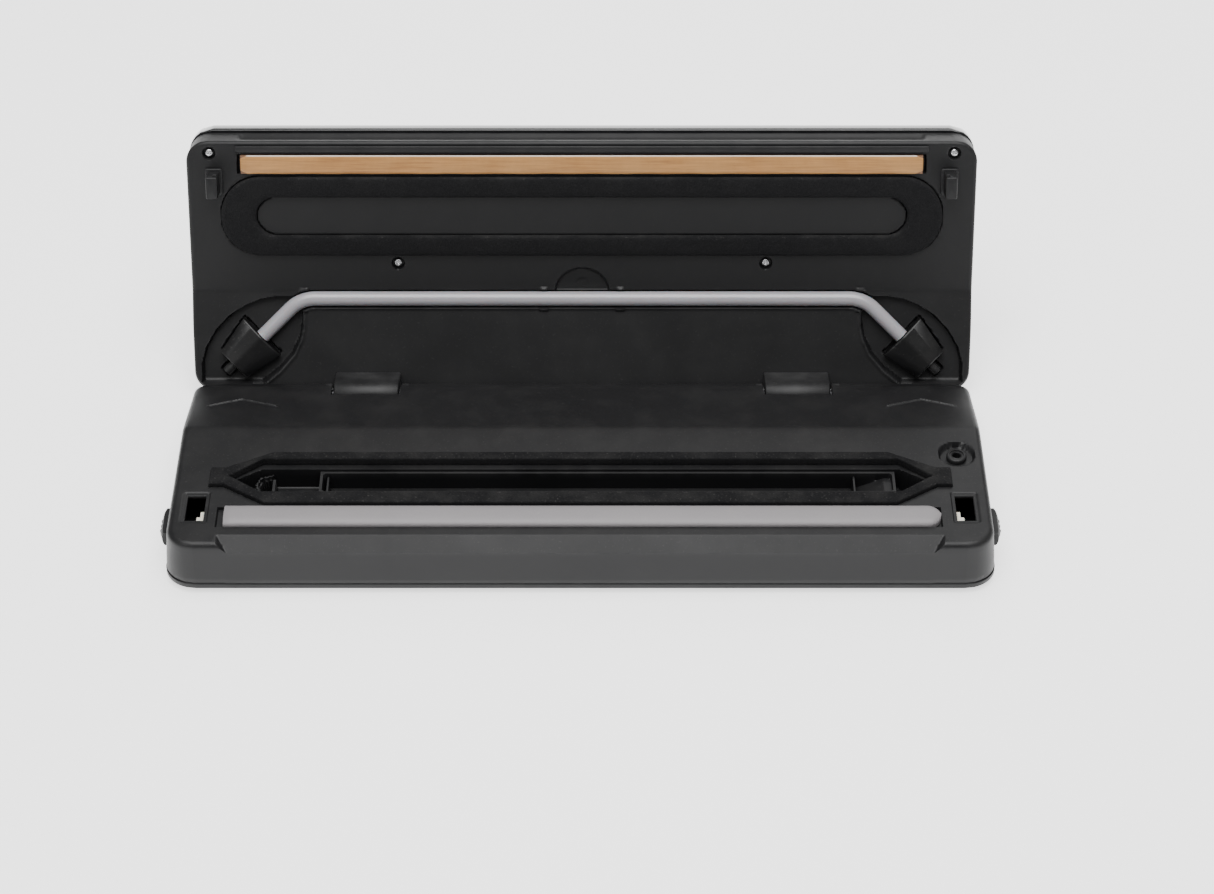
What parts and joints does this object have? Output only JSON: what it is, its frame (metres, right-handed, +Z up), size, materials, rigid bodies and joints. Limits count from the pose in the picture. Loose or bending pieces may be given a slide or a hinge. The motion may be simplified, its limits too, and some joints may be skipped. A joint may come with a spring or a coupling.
{
  "type": "vacuum sealer",
  "caption": "Countertop vacuum sealer with its lid open: chamber with foam gaskets, silicone sealing strip, heater bar, latches and a stored accessory hose.",
  "frame": {"origin": "centre of the bounding box's bottom face, lid open, on the plane the feet rest on", "axes": "+X to the sealer's right seen from the front, +Y to its back, +Z up"},
  "size_m": [0.39, 0.2204, 0.1185],
  "materials": {
    "body_plastic": "satin moulded",
    "lid_plastic": "satin moulded",
    "gloss_cover": "gloss",
    "foam": "closed-cell foam",
    "silicone": "satin silicone",
    "hose_silicone": "satin translucent silicone",
    "ptfe_tape": "woven, coated",
    "steel": "plain",
    "nichrome": "plain",
    "ivory_pom": "smooth",
    "rubber": "matte",
    "phenolic": "matte",
    "circuit_board": "matte",
    "copper": "wound wire",
    "clear_window": "clear",
    "key_plastic": "satin"
  },
  "bodies": {
    "base": {"base_top_cover": "body_plastic", "base_bottom_plate": "body_plastic", "sealing_strip": "silicone", "base_gasket": "foam", "accessory_port_nozzle": "body_plastic", "suction_fitting": "body_plastic", "hinge_pin_left": "steel", "hinge_pin_right": "steel", "vacuum_pump": "key_plastic", "pump_motor": "steel", "power_board": "circuit_board", "transformer": "copper", "lid_switch": "phenolic", "chamber_air_tube": "hose_silicone", "port_air_tube": "hose_silicone", "cord_gland": "rubber", "latch_spring_left": "steel", "latch_spring_right": "steel", "foot_front_left": "rubber", "foot_front_right": "rubber", "foot_rear_left": "rubber", "foot_rear_right": "rubber", "base_screw_1": "steel", "base_screw_2": "steel", "base_screw_3": "steel", "base_screw_4": "steel"},
    "lid": {"lid_liner": "lid_plastic", "lid_outer_cover": "gloss_cover", "control_panel": "body_plastic", "indicator_window": "clear_window", "control_board": "circuit_board", "heater_bar": "phenolic", "heating_wire": "nichrome", "heater_tape": "ptfe_tape", "tape_clamp_strip": "lid_plastic", "lid_gasket": "foam", "latch_hook_left": "lid_plastic", "latch_hook_right": "lid_plastic", "lid_screw_corner_left": "steel", "lid_screw_corner_right": "steel", "lid_screw_middle_left": "steel", "lid_screw_middle_right": "steel"},
    "release_left": {"release_button_left": "body_plastic", "latch_catch_left": "ivory_pom"},
    "release_right": {"release_button_right": "body_plastic", "latch_catch_right": "ivory_pom"},
    "vacuum_seal_key": {"vacuum_seal_key": "key_plastic"},
    "seal_key": {"seal_key": "key_plastic"},
    "drip_tray": {"drip_tray": "body_plastic"},
    "accessory_hose": {"accessory_hose": "hose_silicone", "hose_connector_left": "lid_plastic", "hose_connector_right": "lid_plastic"}
  },
  "joints": [
    {"name": "lid_hinge", "type": "hinge", "parent": "base", "child": "lid", "pos_m": [0, 0.02038, 0.0115], "axis": [-1, 0, 0], "range_deg": [-109.57, 0]},
    {"name": "release_left_press", "type": "slide", "parent": "base", "child": "release_left", "axis": [1, 0, 0], "range_m": [0, 0.004], "stiffness_N_per_m": 400, "springref_m": -0.002, "deforming": ["latch_spring_left"]},
    {"name": "release_right_press", "type": "slide", "parent": "base", "child": "release_right", "axis": [-1, 0, 0], "range_m": [0, 0.004], "stiffness_N_per_m": 400, "springref_m": -0.002, "deforming": ["latch_spring_right"]},
    {"name": "vacuum_seal_key_press", "type": "slide", "parent": "lid", "child": "vacuum_seal_key", "axis": [0, -0.9422, 0.335], "range_m": [0, 0.0006], "stiffness_N_per_m": 600, "springref_m": -0.0005},
    {"name": "seal_key_press", "type": "slide", "parent": "lid", "child": "seal_key", "axis": [0, -0.9422, 0.335], "range_m": [0, 0.0006], "stiffness_N_per_m": 600, "springref_m": -0.0005},
    {"name": "drip_tray_lift", "type": "slide", "parent": "base", "child": "drip_tray", "axis": [0, 0, 1], "range_m": [0, 0.03]},
    {"name": "accessory_hose_lift", "type": "slide", "parent": "lid", "child": "accessory_hose", "axis": [0, -0.8332, 0.553], "range_m": [0, 0.025]}
  ]
}
